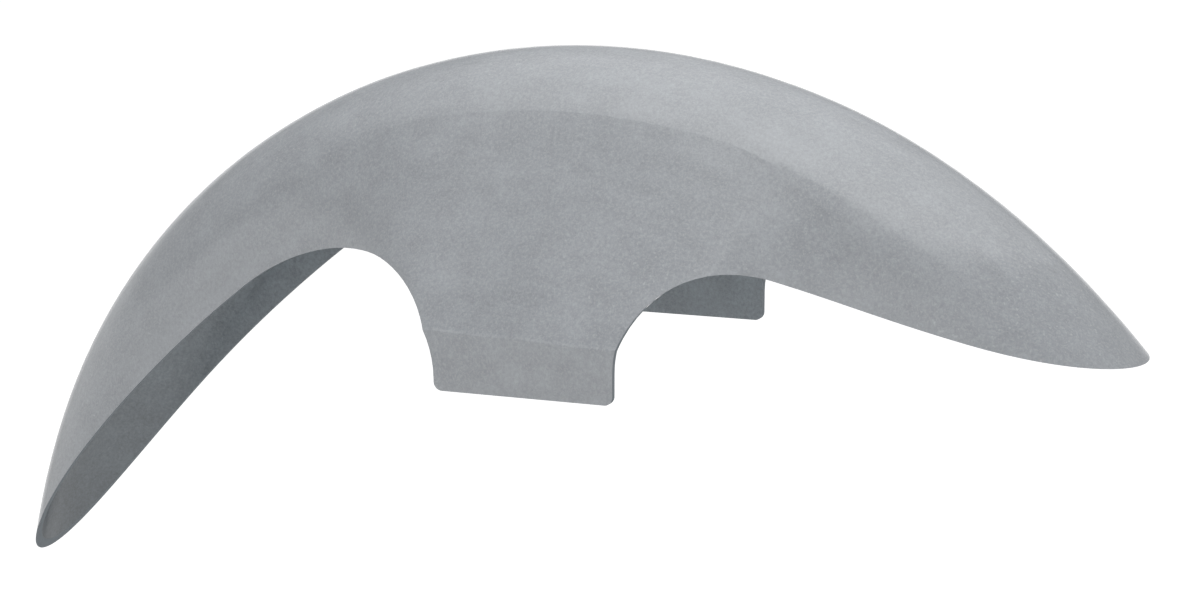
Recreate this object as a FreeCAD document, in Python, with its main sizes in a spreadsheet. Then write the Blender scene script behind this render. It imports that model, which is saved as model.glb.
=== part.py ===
import FreeCAD, Part
import math
import os
import Sketcher

# Front fender for a motorcycle's 21 inch front wheel, moulded as one shell.
#
# The crown is part of a ring about the wheel axle, eased out a little over the nose and the tail.
# Every cross-section is the same round crown with straight walls tangent to it.  The walls stand
# nearly upright over the nose and the tail and lean outwards between the fork legs, where they end
# in two flat mounting tabs.  Seen from the side, one trim line of straight lines and tangent arcs
# gives the nose, the arches on both sides of the tab and the tail.
#
# Millimetres.  +X is forwards, +Y is the bike's left, +Z is up.  The origin is midway between the
# two tabs, and the wheel axle lies straight below it.

V = FreeCAD.Vector

SIZES = (
    ("crown_radius", 365, "crown line about the wheel axle"),
    ("nose_ease", 88, "how much larger the crown line's radius is over the nose"),
    ("tail_ease", 75, "how much larger the crown line's radius is over the tail"),
    ("section_radius", 51, "round of the crown across the fender"),
    ("skin", 3, "thickness of the moulded shell"),
    ("axle_drop", 217, "wheel axle below the middle of the tabs"),
    ("skirt_half_width", 62, "walls' half-width at their lower end, away from the tabs"),
    ("skirt_height", 224.5, "lower end of the leaning walls above the axle, before trimming"),
    ("flare_over", 4, "how far the leaning walls run out past the tabs' faces, before trimming"),
    ("flare_reach", 25.5, "degrees round the axle over which the walls lean out"),
    ("tab_span", 202, "over the outer faces of the two tabs"),
    ("tab_bottom", 202.5, "lower edge of the tabs above the axle, at its middle"),
    ("tab_slope", 2.6, "rise of that edge from its rear corner to its front one"),
    ("tab_corner", 4.5, "rounded lower corners of the tabs"),
    ("tab_front", 49.2, "front edge of the tabs ahead of the axle"),
    ("tab_back", 49.6, "rear edge of the tabs behind the axle"),
    ("front_arch_top", 268.4, "top of the front arch above the axle"),
    ("front_arch_radius", 48.2, "front arch, from the tab's edge to its top"),
    ("front_turn_radius", 66, "from the front arch's top down into the nose line"),
    ("front_turn_end", 117.2, "where the nose line starts, ahead of the axle"),
    ("nose_line_radius", 940, "hollow curve of the nose line"),
    ("rear_arch_top", 261.5, "top of the rear arch above the axle"),
    ("rear_arch_radius", 54.4, "rear arch, from the tab's edge to its top"),
    ("rear_turn_radius", 139, "from the rear arch's top down into the tail line"),
    ("rear_turn_end", 190, "where the tail line starts, behind the axle"),
    ("tail_line_radius", 850, "full curve of the tail line"),
)

# Angles of the cross-sections from the top of the wheel, forwards positive, in degrees, from behind
# the tail's tip to ahead of the nose's tip.
SECTION_ANGLES = range(-99, 73, 9)
# Beyond these angles the crown line follows its larger radius, tangent to the ring.
NOSE_EASE_ANGLE = 36
TAIL_EASE_ANGLE = 68
# Beyond this angle the walls' lower ends keep one radius; inside it they lie level, along the tabs'
# bend line.
LEVEL_ANGLE = 20
# The tab plates' tops follow the middle of the leaning wall: heights above its lower end, outside and inside.
TAB_SHOULDER = 1.3
TAB_TOP = 9.8


def make_sheet(doc):
    sheet = doc.addObject("Spreadsheet::Sheet", "Sizes")
    for row, (alias, value, note) in enumerate(SIZES, start=1):
        sheet.set("A%d" % row, note)
        sheet.set("B%d" % row, str(value))
        sheet.setAlias("B%d" % row, alias)
    doc.recompute()
    return sheet


def origin_plane(body, role):
    return next(f for f in body.Origin.OriginFeatures if f.Role == role)


def new_sketch(body, name, role):
    sketch = body.newObject("Sketcher::SketchObject", name)
    sketch.AttachmentSupport = (origin_plane(body, role), [""])
    sketch.MapMode = "FlatFace"
    return sketch


def from_axle(sketch, turn=0):
    """Puts the sketch's own origin on the wheel axle, turned by so many degrees about its X."""
    sketch.AttachmentOffset = FreeCAD.Placement(V(0, -1, 0), FreeCAD.Rotation(V(1, 0, 0), turn))
    sketch.setExpression("AttachmentOffset.Base.y", "-Sizes.axle_drop")


def rule(sketch, name, formula, *constraint):
    """Adds a dimension, names it and binds it to the sheet."""
    index = sketch.addConstraint(Sketcher.Constraint(*constraint))
    sketch.renameConstraint(index, name)
    sketch.setExpression("Constraints." + name, formula)


def fix(sketch, *constraint):
    sketch.addConstraint(Sketcher.Constraint(*constraint))


def line(sketch, start, end):
    return sketch.addGeometry(Part.LineSegment(start, end), False)


def arc(sketch, centre, radius, start_angle, end_angle):
    circle = Part.Circle(centre, V(0, 0, 1), radius)
    return sketch.addGeometry(Part.ArcOfCircle(circle, start_angle, end_angle), False)


def ease_of(angle):
    """Name of the easing at this angle and the angle past its start."""
    if angle > 0:
        return "nose_ease", angle - NOSE_EASE_ANGLE
    return "tail_ease", -angle - TAIL_EASE_ANGLE


def crown_formula(angle):
    """Crown radius from the axle in the section at this angle."""
    ease, past = ease_of(angle)
    if past <= 0:
        return "Sizes.crown_radius"
    ring = "(Sizes.crown_radius + Sizes.%s)" % ease
    across = "(Sizes.%s * sin(%g deg))" % (ease, past)
    return "sqrt(%s ^ 2 - %s ^ 2) - Sizes.%s * cos(%g deg)" % (ring, across, ease, past)


def crown_guess(size, angle):
    ease, past = ease_of(angle)
    if past <= 0:
        return size.crown_radius
    drop, turn = getattr(size, ease), math.radians(past)
    return math.sqrt((size.crown_radius + drop) ** 2 - (drop * math.sin(turn)) ** 2) - drop * math.cos(turn)


def section_formulas(angle):
    """Half-width and radius of the wall's lower end in the section at this angle."""
    share = "exp(0 - (%g / Sizes.flare_reach) ^ 6)" % abs(angle)
    widest = "(Sizes.tab_span / 2 + Sizes.flare_over)"
    half_width = "Sizes.skirt_half_width + (%s - Sizes.skirt_half_width) * %s" % (widest, share)
    radius = "Sizes.skirt_height / cos(%g deg)" % min(abs(angle), LEVEL_ANGLE)
    return half_width, radius


def section_guess(size, angle):
    """The same lower end, and the lean of the wall tangent to the crown, to start the sketch from."""
    share = math.exp(-(abs(angle) / size.flare_reach) ** 6)
    half_width = size.skirt_half_width + (size.tab_span / 2 + size.flare_over - size.skirt_half_width) * share
    radius = size.skirt_height / math.cos(math.radians(min(abs(angle), LEVEL_ANGLE)))
    drop = crown_guess(size, angle) - size.section_radius - radius
    lean = math.atan2(-drop, half_width) + math.acos(size.section_radius / math.hypot(half_width, drop))
    return half_width, radius, lean


def cross_section(body, size, angle):
    """Shell section in a plane through the axle: round crown and tangent walls, all of one thickness."""
    side = "Front" if angle > 0 else "Rear"
    sketch = new_sketch(body, "Section%s%02d" % (side, abs(angle)), "YZ_Plane")
    from_axle(sketch, angle)
    half_width, radius, lean = section_guess(size, angle)
    centre = V(0, crown_guess(size, angle) - size.section_radius, 0)
    inner_radius = size.section_radius - size.skin
    out = V(math.cos(lean), math.sin(lean), 0)
    mirror = lambda p: V(-p.x, p.y, 0)

    foot = V(half_width, radius, 0)
    knee = centre + out * size.section_radius
    foot_in = foot - out * size.skin
    knee_in = centre + out * inner_radius

    crown = arc(sketch, centre, size.section_radius, lean, math.pi - lean)
    right = line(sketch, foot, knee)
    left = line(sketch, mirror(knee), mirror(foot))
    crown_in = arc(sketch, centre, inner_radius, lean, math.pi - lean)
    right_in = line(sketch, foot_in, knee_in)
    left_in = line(sketch, mirror(knee_in), mirror(foot_in))
    right_cap = line(sketch, foot, foot_in)
    left_cap = line(sketch, mirror(foot), mirror(foot_in))

    for bow, wall_right, wall_left in ((crown, right, left), (crown_in, right_in, left_in)):
        fix(sketch, "Tangent", wall_right, 2, bow, 1)
        fix(sketch, "Tangent", bow, 2, wall_left, 1)
    fix(sketch, "Coincident", crown, 3, crown_in, 3)
    fix(sketch, "PointOnObject", crown, 3, -2)
    for cap, wall, wall_in, end in ((right_cap, right, right_in, 1), (left_cap, left, left_in, 2)):
        fix(sketch, "Coincident", cap, 1, wall, end)
        fix(sketch, "Coincident", cap, 2, wall_in, end)
        fix(sketch, "Perpendicular", cap, wall)
    fix(sketch, "Parallel", right, right_in)
    fix(sketch, "Parallel", left, left_in)
    fix(sketch, "Symmetric", right, 1, left, 2, -2)

    wide, low = section_formulas(angle)
    rule(sketch, "crown_round", "Sizes.section_radius", "Radius", crown, size.section_radius)
    rule(sketch, "inner_round", "Sizes.section_radius - Sizes.skin", "Radius", crown_in, inner_radius)
    rule(sketch, "centre_height", crown_formula(angle) + " - Sizes.section_radius",
         "DistanceY", -1, 1, crown, 3, centre.y)
    rule(sketch, "lower_half_width", wide, "DistanceX", -1, 1, right, 1, half_width)
    rule(sketch, "lower_radius", low, "DistanceY", -1, 1, right, 1, radius)
    return sketch


def loft_skin(body, size):
    sections = [cross_section(body, size, angle) for angle in SECTION_ANGLES]
    loft = body.newObject("PartDesign::AdditiveLoft", "Skin")
    loft.Profile = sections[0]
    loft.Sections = sections[1:]
    loft.Ruled = False
    return loft


def pad_tabs(body, size):
    """Flat upright plates between the fork legs; their slanting tops end inside the leaning walls."""
    sketch = new_sketch(body, "TabSection", "YZ_Plane")
    from_axle(sketch)
    inner = size.tab_span / 2 - size.skin
    outer = size.tab_span / 2 + size.flare_over / 2
    low = size.tab_bottom - 10
    shoulder = size.skirt_height + TAB_SHOULDER
    high = size.skirt_height + TAB_TOP
    for hand, sign in (("left", 1), ("right", -1)):
        corners = [V(sign * inner, low, 0), V(sign * outer, low, 0),
                   V(sign * outer, shoulder, 0), V(sign * inner, high, 0)]
        bottom, face, top, back = [line(sketch, corners[i], corners[(i + 1) % 4]) for i in range(4)]
        for first, second in ((bottom, face), (face, top), (top, back), (back, bottom)):
            fix(sketch, "Coincident", first, 2, second, 1)
        fix(sketch, "Horizontal", bottom)
        fix(sketch, "Vertical", face)
        fix(sketch, "Vertical", back)
        start, end = ((-1, 1), (back, 2)) if sign > 0 else ((back, 2), (-1, 1))
        rule(sketch, hand + "_inner", "Sizes.tab_span / 2 - Sizes.skin", "DistanceX", *start, *end, inner)
        start, end = ((-1, 1), (face, 2)) if sign > 0 else ((face, 2), (-1, 1))
        rule(sketch, hand + "_outer", "Sizes.tab_span / 2 + Sizes.flare_over / 2",
             "DistanceX", *start, *end, outer)
        rule(sketch, hand + "_low", "Sizes.tab_bottom - 10", "DistanceY", -1, 1, bottom, 1, low)
        rule(sketch, hand + "_shoulder", "Sizes.skirt_height + %g" % TAB_SHOULDER,
             "DistanceY", -1, 1, face, 2, shoulder)
        rule(sketch, hand + "_high", "Sizes.skirt_height + %g" % TAB_TOP, "DistanceY", -1, 1, back, 1, high)
    pad = body.newObject("PartDesign::Pad", "Tabs")
    pad.Profile = sketch
    pad.Midplane = True
    pad.setExpression("Length", "2 * max(Sizes.tab_front; Sizes.tab_back) + 16")
    return pad


def cut_tab_faces(body, size):
    """Takes both sides back to the tabs' flat outer faces; the bend line is where the wall meets them."""
    sketch = new_sketch(body, "TabFaces", "YZ_Plane")
    from_axle(sketch)
    near = size.tab_span / 2
    far = near + 80
    low, high = 100, size.crown_radius
    for hand, sign in (("left", 1), ("right", -1)):
        corners = [V(sign * near, low, 0), V(sign * far, low, 0),
                   V(sign * far, high, 0), V(sign * near, high, 0)]
        bottom, away, top, face = [line(sketch, corners[i], corners[(i + 1) % 4]) for i in range(4)]
        for first, second in ((bottom, away), (away, top), (top, face), (face, bottom)):
            fix(sketch, "Coincident", first, 2, second, 1)
        for side in (bottom, top):
            fix(sketch, "Horizontal", side)
        for side in (away, face):
            fix(sketch, "Vertical", side)
        start, end = ((-1, 1), (face, 2)) if sign > 0 else ((face, 2), (-1, 1))
        rule(sketch, hand + "_face", "Sizes.tab_span / 2", "DistanceX", *start, *end, near)
        start, end = ((bottom, 1), (bottom, 2)) if sign > 0 else ((bottom, 2), (bottom, 1))
        rule(sketch, hand + "_wide", "Sizes.tab_span / 2", "DistanceX", *start, *end, far - near)
        rule(sketch, hand + "_low", "Sizes.tab_bottom / 2", "DistanceY", -1, 1, bottom, 1, low)
        rule(sketch, hand + "_high", "Sizes.crown_radius", "DistanceY", -1, 1, top, 1, high)
    pocket = body.newObject("PartDesign::Pocket", "TabFaceCut")
    pocket.Profile = sketch
    pocket.Type = "ThroughAll"
    pocket.Midplane = True
    return pocket


def trim_line(body, size):
    """Side view from the axle: nose line, front arch, tab, rear arch and tail line, closed far below."""
    sketch = new_sketch(body, "TrimLine", "XZ_Plane")
    from_axle(sketch)
    quarter = math.pi / 2
    corner = size.tab_corner
    low_front = size.tab_bottom + size.tab_slope / 2
    low_back = size.tab_bottom - size.tab_slope / 2

    def arch(sign, edge, arch_top, arch_radius, turn_radius, turn_end, long_radius, hollow, reach):
        """Tab edge up into the arch, over its top and out along the long line; sign is +1 forwards."""
        on_right = sign > 0
        top_x = edge + arch_radius
        spring = arch_top - arch_radius
        sweep = math.asin((turn_end - top_x) / turn_radius)
        turn_z = arch_top - turn_radius * (1 - math.cos(sweep))
        side = -1 if hollow else 1
        long_x = turn_end - side * long_radius * math.sin(sweep)
        long_z = turn_z - side * long_radius * math.cos(sweep)
        out_angle = math.asin((reach - long_x) / long_radius)
        end_z = long_z + side * long_radius * math.cos(out_angle)

        low = low_front if on_right else low_back
        upright = line(sketch, V(sign * edge, low + corner, 0), V(sign * edge, spring, 0))
        bow_centre = V(sign * top_x, spring, 0)
        turn_centre = V(sign * top_x, arch_top - turn_radius, 0)
        long_centre = V(sign * long_x, long_z, 0)
        if on_right:
            bow = arc(sketch, bow_centre, arch_radius, quarter, 2 * quarter)
            turn = arc(sketch, turn_centre, turn_radius, quarter - sweep, quarter)
        else:
            bow = arc(sketch, bow_centre, arch_radius, 0, quarter)
            turn = arc(sketch, turn_centre, turn_radius, quarter, quarter + sweep)
        if hollow:
            long = arc(sketch, long_centre, long_radius, 3 * quarter - sweep, 3 * quarter + out_angle)
        else:
            long = arc(sketch, long_centre, long_radius, quarter + sweep, quarter + out_angle)
        bow_low, bow_high = (2, 1) if on_right else (1, 2)
        turn_high, turn_low = (2, 1) if on_right else (1, 2)
        fix(sketch, "Vertical", upright)
        fix(sketch, "Tangent", upright, 2, bow, bow_low)
        fix(sketch, "Tangent", bow, bow_high, turn, turn_high)
        fix(sketch, "Tangent", turn, turn_low, long, 1)
        return upright, bow, turn, long, bow_high, turn_low, V(sign * reach, end_z, 0)

    reach = size.crown_radius + 12
    front = arch(1, size.tab_front, size.front_arch_top, size.front_arch_radius, size.front_turn_radius,
                 size.front_turn_end, size.nose_line_radius, True, reach)
    rear = arch(-1, size.tab_back, size.rear_arch_top, size.rear_arch_radius, size.rear_turn_radius,
                size.rear_turn_end, size.tail_line_radius, False, reach)

    rule(sketch, "tab_front", "Sizes.tab_front", "DistanceX", -1, 1, front[0], 1, size.tab_front)
    rule(sketch, "tab_back", "Sizes.tab_back", "DistanceX", rear[0], 1, -1, 1, size.tab_back)
    for name, parts in (("front", front), ("rear", rear)):
        upright, bow, turn, long, bow_high, turn_low, end = parts
        rule(sketch, name + "_arch_radius", "Sizes.%s_arch_radius" % name, "Radius", bow,
             getattr(size, name + "_arch_radius"))
        rule(sketch, name + "_arch_top", "Sizes.%s_arch_top" % name, "DistanceY", -1, 1, bow, bow_high,
             getattr(size, name + "_arch_top"))
        rule(sketch, name + "_turn_radius", "Sizes.%s_turn_radius" % name, "Radius", turn,
             getattr(size, name + "_turn_radius"))
        fix(sketch, "Vertical", bow, 3, turn, 3)
    rule(sketch, "front_turn_end", "Sizes.front_turn_end", "DistanceX", -1, 1, front[2], front[5],
         size.front_turn_end)
    rule(sketch, "rear_turn_end", "Sizes.rear_turn_end", "DistanceX", rear[2], rear[5], -1, 1,
         size.rear_turn_end)
    rule(sketch, "nose_line_radius", "Sizes.nose_line_radius", "Radius", front[3], size.nose_line_radius)
    rule(sketch, "tail_line_radius", "Sizes.tail_line_radius", "Radius", rear[3], size.tail_line_radius)

    right_corner = arc(sketch, V(size.tab_front - corner, low_front + corner, 0), corner, 3 * quarter, 0)
    left_corner = arc(sketch, V(-size.tab_back + corner, low_back + corner, 0), corner,
                      2 * quarter, 3 * quarter)
    bottom = line(sketch, V(-size.tab_back + corner, low_back, 0), V(size.tab_front - corner, low_front, 0))
    fix(sketch, "Tangent", right_corner, 2, front[0], 1)
    fix(sketch, "Tangent", left_corner, 1, rear[0], 1)
    fix(sketch, "Tangent", left_corner, 2, bottom, 1)
    fix(sketch, "Tangent", bottom, 2, right_corner, 1)
    fix(sketch, "Equal", left_corner, right_corner)
    rule(sketch, "tab_corner", "Sizes.tab_corner", "Radius", right_corner, corner)
    rule(sketch, "tab_low_front", "Sizes.tab_bottom + Sizes.tab_slope / 2",
         "DistanceY", -1, 1, bottom, 2, low_front)
    rule(sketch, "tab_low_back", "Sizes.tab_bottom - Sizes.tab_slope / 2",
         "DistanceY", -1, 1, bottom, 1, low_back)

    low = -size.crown_radius / 2
    front_end, rear_end = front[6], rear[6]
    down_front = line(sketch, front_end, V(front_end.x, low, 0))
    floor = line(sketch, V(front_end.x, low, 0), V(rear_end.x, low, 0))
    down_rear = line(sketch, V(rear_end.x, low, 0), rear_end)
    fix(sketch, "Coincident", front[3], 2, down_front, 1)
    fix(sketch, "Coincident", down_front, 2, floor, 1)
    fix(sketch, "Coincident", floor, 2, down_rear, 1)
    fix(sketch, "Coincident", down_rear, 2, rear[3], 2)
    fix(sketch, "Vertical", down_front)
    fix(sketch, "Horizontal", floor)
    fix(sketch, "Vertical", down_rear)
    rule(sketch, "front_reach", "Sizes.crown_radius + 12", "DistanceX", -1, 1, floor, 1, reach)
    rule(sketch, "rear_reach", "Sizes.crown_radius + 12", "DistanceX", floor, 2, -1, 1, reach)
    rule(sketch, "floor_depth", "Sizes.crown_radius / 2", "DistanceY", floor, 1, -1, 1, -low)
    return sketch


def cut_trim_line(body, size):
    sketch = trim_line(body, size)
    pocket = body.newObject("PartDesign::Pocket", "TrimCut")
    pocket.Profile = sketch
    pocket.Type = "ThroughAll"
    pocket.Midplane = True
    return pocket


class Numbers:
    """The sheet's present values, by alias."""

    def __init__(self, sheet):
        for alias, value, note in SIZES:
            setattr(self, alias, float(sheet.get(alias)))


def check(doc, body):
    for item in doc.Objects:
        if "Invalid" in item.State or "Error" in item.State:
            raise RuntimeError("%s did not build: %s" % (item.Label, item.State))
    shape = body.Shape
    if shape.isNull() or not shape.isValid() or len(shape.Solids) != 1:
        raise RuntimeError("%s is not one valid solid" % body.Label)


def build():
    doc = FreeCAD.newDocument("FrontFender")
    sheet = make_sheet(doc)
    size = Numbers(sheet)
    body = doc.addObject("PartDesign::Body", "Fender")
    body.Label = "fender"
    volumes = []
    for step in (loft_skin, pad_tabs, cut_tab_faces, cut_trim_line):
        step(body, size)
        doc.recompute()
        volumes.append(body.Shape.Volume)
    if not volumes[0] < volumes[1] > volumes[2] > volumes[3]:
        raise RuntimeError("a cut or a tab missed the shell")
    check(doc, body)
    os.makedirs("parts", exist_ok=True)
    body.Shape.exportStep("parts/%s.step" % body.Label)
    return doc


build()
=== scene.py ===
import math
import bpy
from mathutils import Matrix, Vector


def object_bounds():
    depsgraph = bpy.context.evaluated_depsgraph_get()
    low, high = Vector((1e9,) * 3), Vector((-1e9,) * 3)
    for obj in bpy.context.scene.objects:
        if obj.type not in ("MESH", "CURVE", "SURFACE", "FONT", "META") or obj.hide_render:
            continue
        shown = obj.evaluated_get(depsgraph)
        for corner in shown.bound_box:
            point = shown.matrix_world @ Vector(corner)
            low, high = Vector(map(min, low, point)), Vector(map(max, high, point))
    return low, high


# Front fender as packed, with its gelcoat finish, a studio light and the photograph's camera.  Metres.

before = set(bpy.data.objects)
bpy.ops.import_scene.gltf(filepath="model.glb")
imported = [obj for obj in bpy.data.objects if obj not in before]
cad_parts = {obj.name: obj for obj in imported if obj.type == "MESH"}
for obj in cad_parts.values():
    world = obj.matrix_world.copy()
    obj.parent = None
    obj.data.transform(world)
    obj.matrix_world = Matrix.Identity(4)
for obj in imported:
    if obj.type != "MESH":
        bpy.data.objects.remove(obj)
cad_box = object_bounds()

# Crown: its radius about the axle and the radius of its own round section
CROWN = 0.365
SECTION = 0.051

# Places on the part, from its packed box
BOX_LOW, BOX_HIGH = cad_box
TAIL_END, NOSE_END, TAB_FACE = BOX_LOW[0], BOX_HIGH[0], BOX_HIGH[1]
AXLE = (0.0, 0.0, BOX_HIGH[2] - CROWN)

# Cut edges: most lean of the normal to a side, and half the width of the crown's middle, which is as square
SQUARE = 0.02
MIDDLE = 0.007

# Tips, where the middle is cut too: length of each, and the normal's Z below which it faces down
NOSE_TIP, NOSE_DOWN = 0.0377, -0.85
TAIL_TIP, TAIL_DOWN = 0.0192, -0.4

# Painted highlight along the bend: depths inside the tab's face between which it begins and ends
BEND_BEGINS = (0.00005, 0.0002)
BEND_ENDS = (0.0005, 0.0009)

# Marks: scale of the noise, its detail and roughness, and the noise levels where a mark begins and is full
CLOUDS = (16.0, 4.0, 0.6, 0.3, 0.7)
BLOTCH = (60.0, 3.0, 0.55, 0.3, 0.7)
MOTTLE = (520.0, 4.0, 0.8, 0.3, 0.7)
WIPED = (1.0, 3.0, 0.6, 0.3, 0.7)
PATCHES = (13.0, 2.0, 0.5, 0.45, 0.65)
FLECKS = (560.0, 1.0, 0.4, 0.67, 0.76)
GRAIN = (320.0, 3.0, 0.6, 0.0, 1.0)

# Wiped streaks: noise per radian round the axle and per metre across
STREAK_ALONG, STREAK_ACROSS = 9.0, 110.0

# Strands: length and widths, the ways they lie in radians, and how many times finer they are on each face
STRAND_SIZE = (0.0055, 0.00185, 0.00185)
STRAND_TURNS = ((0.0, 0.3, 0.5), (0.0, 1.3, 0.3), (0.0, 2.3, -0.6))
INSIDE_FINENESS, OUTSIDE_FINENESS = 1.0, 2.0

# Noise of the strands, as for the marks, whose scale is the fineness
STRANDS = (1.0, 0.4, 0.57, 0.72)

# Colours, and the share of each that covers the grey below it
WHITE = (1, 1, 1, 1)
GREY, GREY_CLOUD = (0.318, 0.336, 0.358, 1), (0.345, 0.363, 0.386, 1)
FLECK, FLECK_SHARE = (0.52, 0.54, 0.56, 1), 0.5
STRAND, STRAND_SHARE = (0.50, 0.52, 0.54, 1), 0.26
# Paler colour painted along the bend above each tab as a highlight
BEND_HIGHLIGHT = (0.42, 0.44, 0.46, 1)
# Inside laminate: partly its own darker colour and partly painted shade of the channel's inside, in its
# strands too
LAMINATE_WITH_SHADE = (0.222, 0.250, 0.272, 1)
INSIDE_STRAND, INSIDE_STRAND_SHARE = (0.28, 0.312, 0.336, 1), 0.3
CUT_EDGE = (0.305, 0.337, 0.362, 1)

# Shares of a colour's level where a mark is missing and where it is full
BLOTCH_SHADE = (0.95, 1.05)
WIPED_SHADE = (0.96, 1.04)
MOTTLE_SHADE = (0.88, 1.12)
STAIN_SHADE = (0.55, 1.33)

# Stain inside: share of the blotches in it, the rest being mottle
STAIN_BLOTCH = 0.3

# Inside, painted shade at the height of the tail's end and painted light under the crown: height and share
# of the level
PAINTED_INSIDE_LIGHT_AND_SHADE = ((-0.16, 0.6), (0.05, 1.44))

# Gloss: roughness of each surface, and the gloss of the gelcoat by how far it is turned from the eye
GELCOAT_ROUGH, LAMINATE_ROUGH, CUT_ROUGH = ((0.0, 0.14), (1.0, 0.21)), 0.45, 0.8
GELCOAT_IOR = 1.75
SHEEN = ((0.52, 0.5), (0.74, 0.06))
CUT_SHEEN, CUT_TINT = 0.1, 0.3
BUMP_STRENGTH, BUMP_DEPTH = 0.12, 0.0004

# Floor: its height, half its side, its paint's grey and the lift that takes that to white
FLOOR, FLOOR_HALF = -0.9, 20.0
FLOOR_PAINT = (0.5, 0.5, 0.5, 1)
FLOOR_LIFT = 0.8

# World: the level that it lights with, what it shows above the horizon by a ray's X, and where by its Z
FILL = 0.46
ABOVE = ((-0.8, 0.42), (0.8, 0.6))
HORIZON = ((0.06, 0.0), (0.14, 1.0))

# Soft box: height, level, its outline from the tail's side along the front, and shares of the level by place
KEY_HEIGHT = 1.5
KEY = 1.93
KEY_OUTLINE = ((-3.2, -0.4), (-1.95, -0.95), (-1.6, -1.2), (-1.3, -1.34), (-0.45, -1.38), (-0.05, -1.48),
               (0.25, -1.68), (0.25, -1.84), (-0.35, -1.97), (-0.5, -2.6), (-0.4, -3.1), (0.5, -3.1),
               (0.73, -1.78), (0.94, -0.9), (1.16, 0.0), (1.24, 0.6), (1.2, 5.0), (-3.2, 5.0))
KEY_ALONG = ((-3.2, 0.2), (-1.6, 0.45), (-0.2, 1.0))
KEY_ACROSS = ((-3.0, 0.375), (-1.9, 0.5), (-1.45, 1.0), (-0.7, 1.0), (1.6, 0.48), (4.0, 0.384))
KEY_SLANT = 0.3

# Front fill lamp: level, size and place
FRONT = 1.42
FRONT_WIDTH, FRONT_HEIGHT = 3.0, 1.6
FRONT_PLACE = Vector((1.5, -2.6, 0.3))

# Camera: angles round from the right side and up, place from the axle in crown radii, and focal length
AZIMUTH, ELEVATION = math.radians(25.0355), math.radians(12.9558)
CAMERA_BACK, CAMERA_RIGHT, CAMERA_UP = 4.2, -0.0238, 0.6248
SENSOR = 36.0
FOCAL_PIXELS, PHOTO_PIXELS = 2818.9, 1181


class Nodes:
    """Adds and joins shader nodes of one tree."""

    def __init__(self, tree):
        self.tree = tree
        tree.nodes.clear()

    def add(self, kind, **values):
        node = self.tree.nodes.new(kind)
        for key, value in values.items():
            setattr(node, key, value)
        return node

    def put(self, node, **sockets):
        """Links or sets sockets, given by name with _ for a space, or by number after a _."""
        for key, value in sockets.items():
            socket = node.inputs[int(key[1:])] if key[0] == "_" else node.inputs[key.replace("_", " ")]
            if hasattr(value, "is_output"):
                self.tree.links.new(value, socket)
            else:
                socket.default_value = value
        return node

    def math(self, operation, a, b=0.0):
        return self.put(self.add("ShaderNodeMath", operation=operation), _0=a, _1=b).outputs[0]

    def vector(self, operation, a, b=(0.0, 0.0, 0.0), out="Vector"):
        return self.put(self.add("ShaderNodeVectorMath", operation=operation), _0=a, _1=b).outputs[out]

    def scale(self, vector, factor):
        node = self.add("ShaderNodeVectorMath", operation="SCALE")
        return self.put(node, _0=vector, Scale=factor).outputs["Vector"]

    def split(self, vector):
        return tuple(self.put(self.add("ShaderNodeSeparateXYZ"), _0=vector).outputs)

    def spread(self, value, low, high, to_low=0.0, to_high=1.0):
        """Takes low..high to to_low..to_high, and no further."""
        node = self.add("ShaderNodeMapRange", clamp=True)
        return self.put(node, _0=value, _1=low, _2=high, _3=to_low, _4=to_high).outputs[0]

    def steps(self, value, points):
        """Straight lines through points, each a value and its result, and level beyond both ends."""
        result = points[0][1]
        for (start, start_result), (end, end_result) in zip(points, points[1:]):
            rise = self.spread(value, start, end, 0.0, end_result - start_result)
            result = self.math("ADD", result, rise)
        return result

    def marks(self, where, scale, detail, roughness, begins, full):
        """Noise as marks: 0 where there is none and 1 where it is full."""
        node = self.add("ShaderNodeTexNoise")
        noise = self.put(node, Vector=where, Scale=scale, Detail=detail, Roughness=roughness).outputs["Fac"]
        return self.spread(noise, begins, full)

    def blend(self, factor, a, b):
        """Mixes two colours."""
        return self.put(self.add("ShaderNodeMix", data_type="RGBA"), _0=factor, _6=a, _7=b).outputs[2]

    def between(self, factor, a, b):
        """Mixes two plain numbers."""
        return self.put(self.add("ShaderNodeMix", data_type="FLOAT"), _0=factor, _2=a, _3=b).outputs[0]

    def shade(self, colour, marks, missing, full):
        """Colour at one share of its level where marks are missing and at another where they are full."""
        return self.scale(colour, self.between(marks, missing, full))


def new_material(name):
    material = bpy.data.materials.new(name)
    material.use_nodes = True
    return material, Nodes(material.node_tree)


def inner_face(n, where, normal):
    """1 on faces turned to the middle of the crown's section, a ring about the axle, and 0 on outer ones."""
    from_axle = n.vector("MULTIPLY", n.vector("SUBTRACT", where, AXLE), (1, 0, 1))
    ring = n.scale(n.vector("NORMALIZE", from_axle), CROWN - SECTION)
    outwards = n.vector("SUBTRACT", where, n.vector("ADD", ring, AXLE))
    return n.math("LESS_THAN", n.vector("DOT_PRODUCT", normal, outwards, out="Value"), 0.0)


def cut_edge(n, where, normal):
    """1 on the trimmed edges: they stand square to the sides, and at the two tips they face down."""
    x, y, _ = n.split(where)
    _, sideways, upwards = n.split(normal)
    square = n.math("LESS_THAN", n.math("ABSOLUTE", sideways), SQUARE)
    beside = n.math("GREATER_THAN", n.math("ABSOLUTE", y), MIDDLE)
    at_nose = n.math("GREATER_THAN", x, NOSE_END - NOSE_TIP)
    at_tail = n.math("LESS_THAN", x, TAIL_END + TAIL_TIP)
    nose = n.math("MULTIPLY", at_nose, n.math("LESS_THAN", upwards, NOSE_DOWN))
    tail = n.math("MULTIPLY", at_tail, n.math("LESS_THAN", upwards, TAIL_DOWN))
    return n.math("MULTIPLY", square, n.math("MAXIMUM", beside, n.math("MAXIMUM", nose, tail)))


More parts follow.
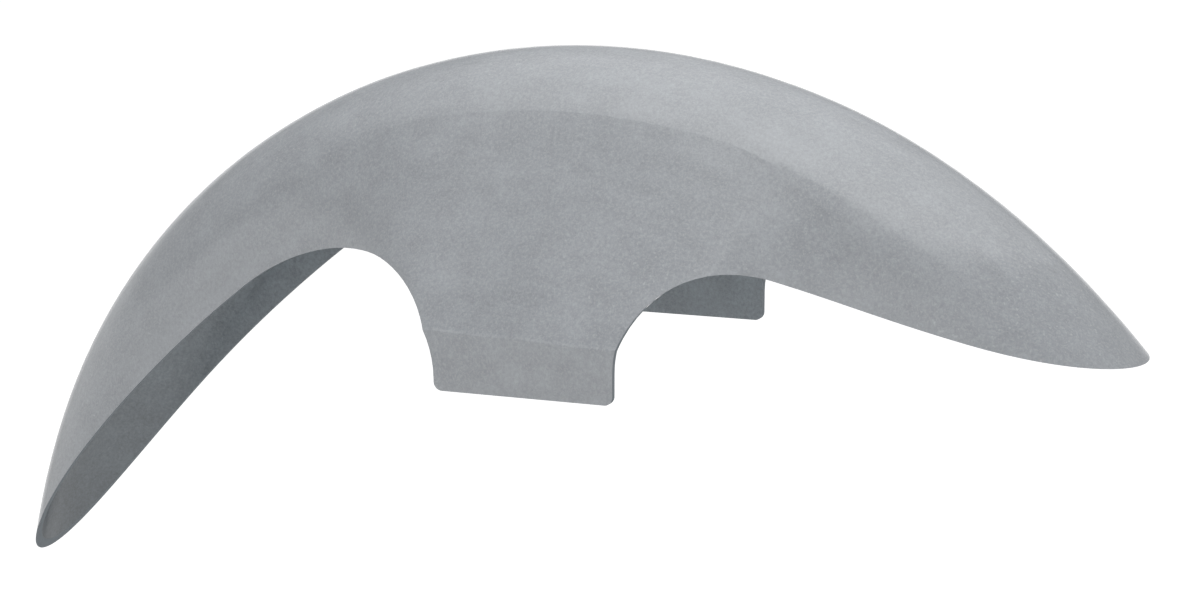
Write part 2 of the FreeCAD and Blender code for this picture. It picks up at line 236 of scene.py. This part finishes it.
def highlight_along_bend(n, where):
    """1 along the bend above each tab, where a paler line is painted as a highlight."""
    _, y, _ = n.split(where)
    depth = n.math("SUBTRACT", TAB_FACE, n.math("ABSOLUTE", y))
    return n.math("MULTIPLY", n.spread(depth, *BEND_BEGINS), n.spread(depth, *BEND_ENDS, 1.0, 0.0))


def round_the_axle(n, where):
    """Place for marks that run round the wheel: slow along the ring, quick across it."""
    from_axle = n.vector("SUBTRACT", where, AXLE)
    x, y, z = n.split(from_axle)
    along = n.math("MULTIPLY", n.math("ARCTAN2", x, z), STREAK_ALONG)
    sideways = n.math("MULTIPLY", y, STREAK_ACROSS)
    radius = n.vector("LENGTH", n.vector("MULTIPLY", from_axle, (1, 0, 1)), out="Value")
    outwards = n.math("MULTIPLY", radius, STREAK_ACROSS)
    return n.put(n.add("ShaderNodeCombineXYZ"), X=along, Y=sideways, Z=outwards).outputs[0]


def strands(n, where, fineness):
    """Chopped glass strands, lying three ways, that show faintly through the surface."""
    found = 0.0
    for turn in STRAND_TURNS:
        mapping = n.add("ShaderNodeMapping", vector_type="TEXTURE")
        lie = n.put(mapping, Vector=where, Rotation=turn, Scale=STRAND_SIZE).outputs[0]
        found = n.math("MAXIMUM", found, n.marks(lie, fineness, *STRANDS))
    return found


def outer_colour(n, where, blotch, mottle, wiped):
    """Cloudy grey with a fine mottle, wiped streaks, pale flecks and strands, and a painted highlight along
    the bend.
    """
    flecks = n.math("MULTIPLY", n.marks(where, *FLECKS), n.marks(where, *PATCHES))
    fine = strands(n, where, OUTSIDE_FINENESS)
    # Painted highlight along the bend, broken up by the blotches and mottle
    painted_highlight = n.math("MULTIPLY", highlight_along_bend(n, where), n.math("MULTIPLY", blotch, mottle))
    grey = n.blend(n.marks(where, *CLOUDS), GREY, GREY_CLOUD)
    for marks, shares in ((blotch, BLOTCH_SHADE), (wiped, WIPED_SHADE), (mottle, MOTTLE_SHADE)):
        grey = n.shade(grey, marks, *shares)
    grey = n.blend(n.math("MULTIPLY", flecks, FLECK_SHARE), grey, FLECK)
    grey = n.blend(n.math("MULTIPLY", fine, STRAND_SHARE), grey, STRAND)
    return n.blend(painted_highlight, grey, BEND_HIGHLIGHT)


def inner_colour(n, where, blotch, mottle, coarse):
    """Darker, stained laminate with coarse strands: darker partly by its own colour and partly by painted
    shade, with more painted shade towards the tail's end and painted light under the crown.
    """
    _, _, height = n.split(where)
    laminate_and_shade = n.blend(n.math("MULTIPLY", coarse, INSIDE_STRAND_SHARE), LAMINATE_WITH_SHADE, INSIDE_STRAND)
    laminate_and_shade = n.shade(laminate_and_shade, n.between(STAIN_BLOTCH, mottle, blotch), *STAIN_SHADE)
    # Painted shade towards the tail's end and painted light under the crown, by height
    return n.scale(laminate_and_shade, n.steps(height, PAINTED_INSIDE_LIGHT_AND_SHADE))


def gelcoat():
    """Bare grey gelcoat with a satin sheen outside, dull laminate inside darkened partly by painted shade,
    and matt cut edges.
    """
    material, n = new_material("grey_gelcoat")
    where = n.add("ShaderNodeTexCoord").outputs["Object"]
    normal = n.add("ShaderNodeNewGeometry").outputs["True Normal"]
    inside = inner_face(n, where, normal)
    cut = cut_edge(n, where, normal)
    blotch = n.marks(where, *BLOTCH)
    mottle = n.marks(where, *MOTTLE)
    wiped = n.marks(round_the_axle(n, where), *WIPED)
    coarse = strands(n, where, INSIDE_FINENESS)

    outer = outer_colour(n, where, blotch, mottle, wiped)
    inner = inner_colour(n, where, blotch, mottle, coarse)
    colour = n.blend(cut, n.blend(inside, outer, inner), CUT_EDGE)
    rough = n.between(inside, n.steps(wiped, GELCOAT_ROUGH), LAMINATE_ROUGH)
    rough = n.between(cut, rough, CUT_ROUGH)
    facing = n.add("ShaderNodeLayerWeight").outputs["Facing"]
    sheen = n.between(cut, n.steps(facing, SHEEN), CUT_SHEEN)
    tint = n.between(cut, 1.0, CUT_TINT)
    grain = n.between(inside, n.marks(where, *GRAIN), coarse)
    bump = n.put(n.add("ShaderNodeBump"), Strength=BUMP_STRENGTH, Distance=BUMP_DEPTH, Height=grain)

    shader = n.add("ShaderNodeBsdfPrincipled")
    n.put(shader, Base_Color=colour, Roughness=rough, Normal=bump.outputs[0])
    n.put(shader, IOR=GELCOAT_IOR, Specular_IOR_Level=sheen, Specular_Tint=tint)
    n.put(n.add("ShaderNodeOutputMaterial"), Surface=shader.outputs[0])
    return material


def direct(n):
    """1 for what the camera sees, in a reflection or through glass too, and 0 for the light given."""
    path = n.add("ShaderNodeLightPath").outputs
    either = n.math("MAXIMUM", path["Is Camera Ray"], path["Is Glossy Ray"])
    return n.math("MAXIMUM", either, path["Is Transmission Ray"])


def floor_paint():
    """Plain white paint; to the camera it is lifted to the backdrop's white and still takes a shadow."""
    material, n = new_material("floor_white")
    paint = n.put(n.add("ShaderNodeBsdfDiffuse"), Color=FLOOR_PAINT).outputs[0]
    lift = n.math("MULTIPLY", direct(n), FLOOR_LIFT)
    glow = n.put(n.add("ShaderNodeEmission"), Color=WHITE, Strength=lift).outputs[0]
    both = n.put(n.add("ShaderNodeAddShader"), _0=paint, _1=glow).outputs[0]
    n.put(n.add("ShaderNodeOutputMaterial"), Surface=both)
    return material


def make_world():
    """White round the horizon, as the floor is, and dimmer above it, most of all on the tail's side."""
    world = bpy.data.worlds.new("studio")
    world.use_nodes = True
    n = Nodes(world.node_tree)
    x, _, z = n.split(n.add("ShaderNodeTexCoord").outputs["Generated"])
    shown = n.between(n.steps(z, HORIZON), 1.0, n.steps(x, ABOVE))
    level = n.between(direct(n), FILL, shown)
    light = n.put(n.add("ShaderNodeBackground"), Color=WHITE, Strength=level).outputs[0]
    n.put(n.add("ShaderNodeOutputWorld"), Surface=light)
    bpy.context.scene.world = world


def level_sheet(name, corners, height, material):
    """Level sheet that isn't part of the object."""
    mesh = bpy.data.meshes.new(name)
    mesh.from_pydata([(x, y, height) for x, y in corners], [], [range(len(corners))])
    mesh.materials.append(material)
    obj = bpy.data.objects.new(name, mesh)
    bpy.context.collection.objects.link(obj)
    return obj


def soft_box_cloth():
    """Glowing cloth, brightest over the crown, fading to the rear, to the tail and over the front tongue."""
    material, n = new_material("soft_box_light")
    x, y, _ = n.split(n.add("ShaderNodeTexCoord").outputs["Object"])
    slant = n.math("ADD", x, n.math("MULTIPLY", n.math("MAXIMUM", y, 0.0), KEY_SLANT))
    share = n.math("MULTIPLY", n.steps(slant, KEY_ALONG), n.steps(y, KEY_ACROSS))
    level = n.math("MULTIPLY", share, KEY)
    glow = n.put(n.add("ShaderNodeEmission"), Color=WHITE, Strength=level).outputs[0]
    n.put(n.add("ShaderNodeOutputMaterial"), Surface=glow)
    return material


def make_soft_box():
    """Overhead soft box: its front edge ends the bright crown at the shoulder, its right one on the nose."""
    soft_box = level_sheet("soft_box", KEY_OUTLINE, KEY_HEIGHT, soft_box_cloth())
    soft_box.visible_camera = False


def make_front_fill():
    lamp = bpy.data.lights.new("front_fill", "AREA")
    lamp.shape = "RECTANGLE"
    lamp.size = FRONT_WIDTH
    lamp.size_y = FRONT_HEIGHT
    lamp.energy = math.pi * FRONT * FRONT_WIDTH * FRONT_HEIGHT
    fill = bpy.data.objects.new("front_fill", lamp)
    fill.location = FRONT_PLACE
    fill.rotation_euler = (-FRONT_PLACE).to_track_quat("-Z", "Y").to_euler()
    fill.visible_glossy = False
    bpy.context.collection.objects.link(fill)


def make_camera():
    level = math.cos(ELEVATION)
    back = Vector((math.sin(AZIMUTH) * level, -math.cos(AZIMUTH) * level, math.sin(ELEVATION)))
    right = Vector((math.cos(AZIMUTH), math.sin(AZIMUTH), 0))
    up = back.cross(right)
    place = Vector(AXLE) + CROWN * (CAMERA_BACK * back + CAMERA_RIGHT * right + CAMERA_UP * up)
    data = bpy.data.cameras.new("camera")
    data.sensor_width = SENSOR
    data.lens = SENSOR * FOCAL_PIXELS / PHOTO_PIXELS
    camera = bpy.data.objects.new("camera", data)
    turn = Matrix((right, up, back)).transposed().to_4x4()
    camera.matrix_world = Matrix.Translation(place) @ turn
    bpy.context.collection.objects.link(camera)
    bpy.context.scene.camera = camera


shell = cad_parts["fender"]
shell.data.materials.clear()
shell.data.materials.append(gelcoat())
make_world()
floor_corners = [(-FLOOR_HALF, -FLOOR_HALF), (FLOOR_HALF, -FLOOR_HALF),
                 (FLOOR_HALF, FLOOR_HALF), (-FLOOR_HALF, FLOOR_HALF)]
level_sheet("floor", floor_corners, FLOOR, floor_paint())
make_soft_box()
make_front_fill()
make_camera()
bpy.context.scene.view_settings.view_transform = "Standard"
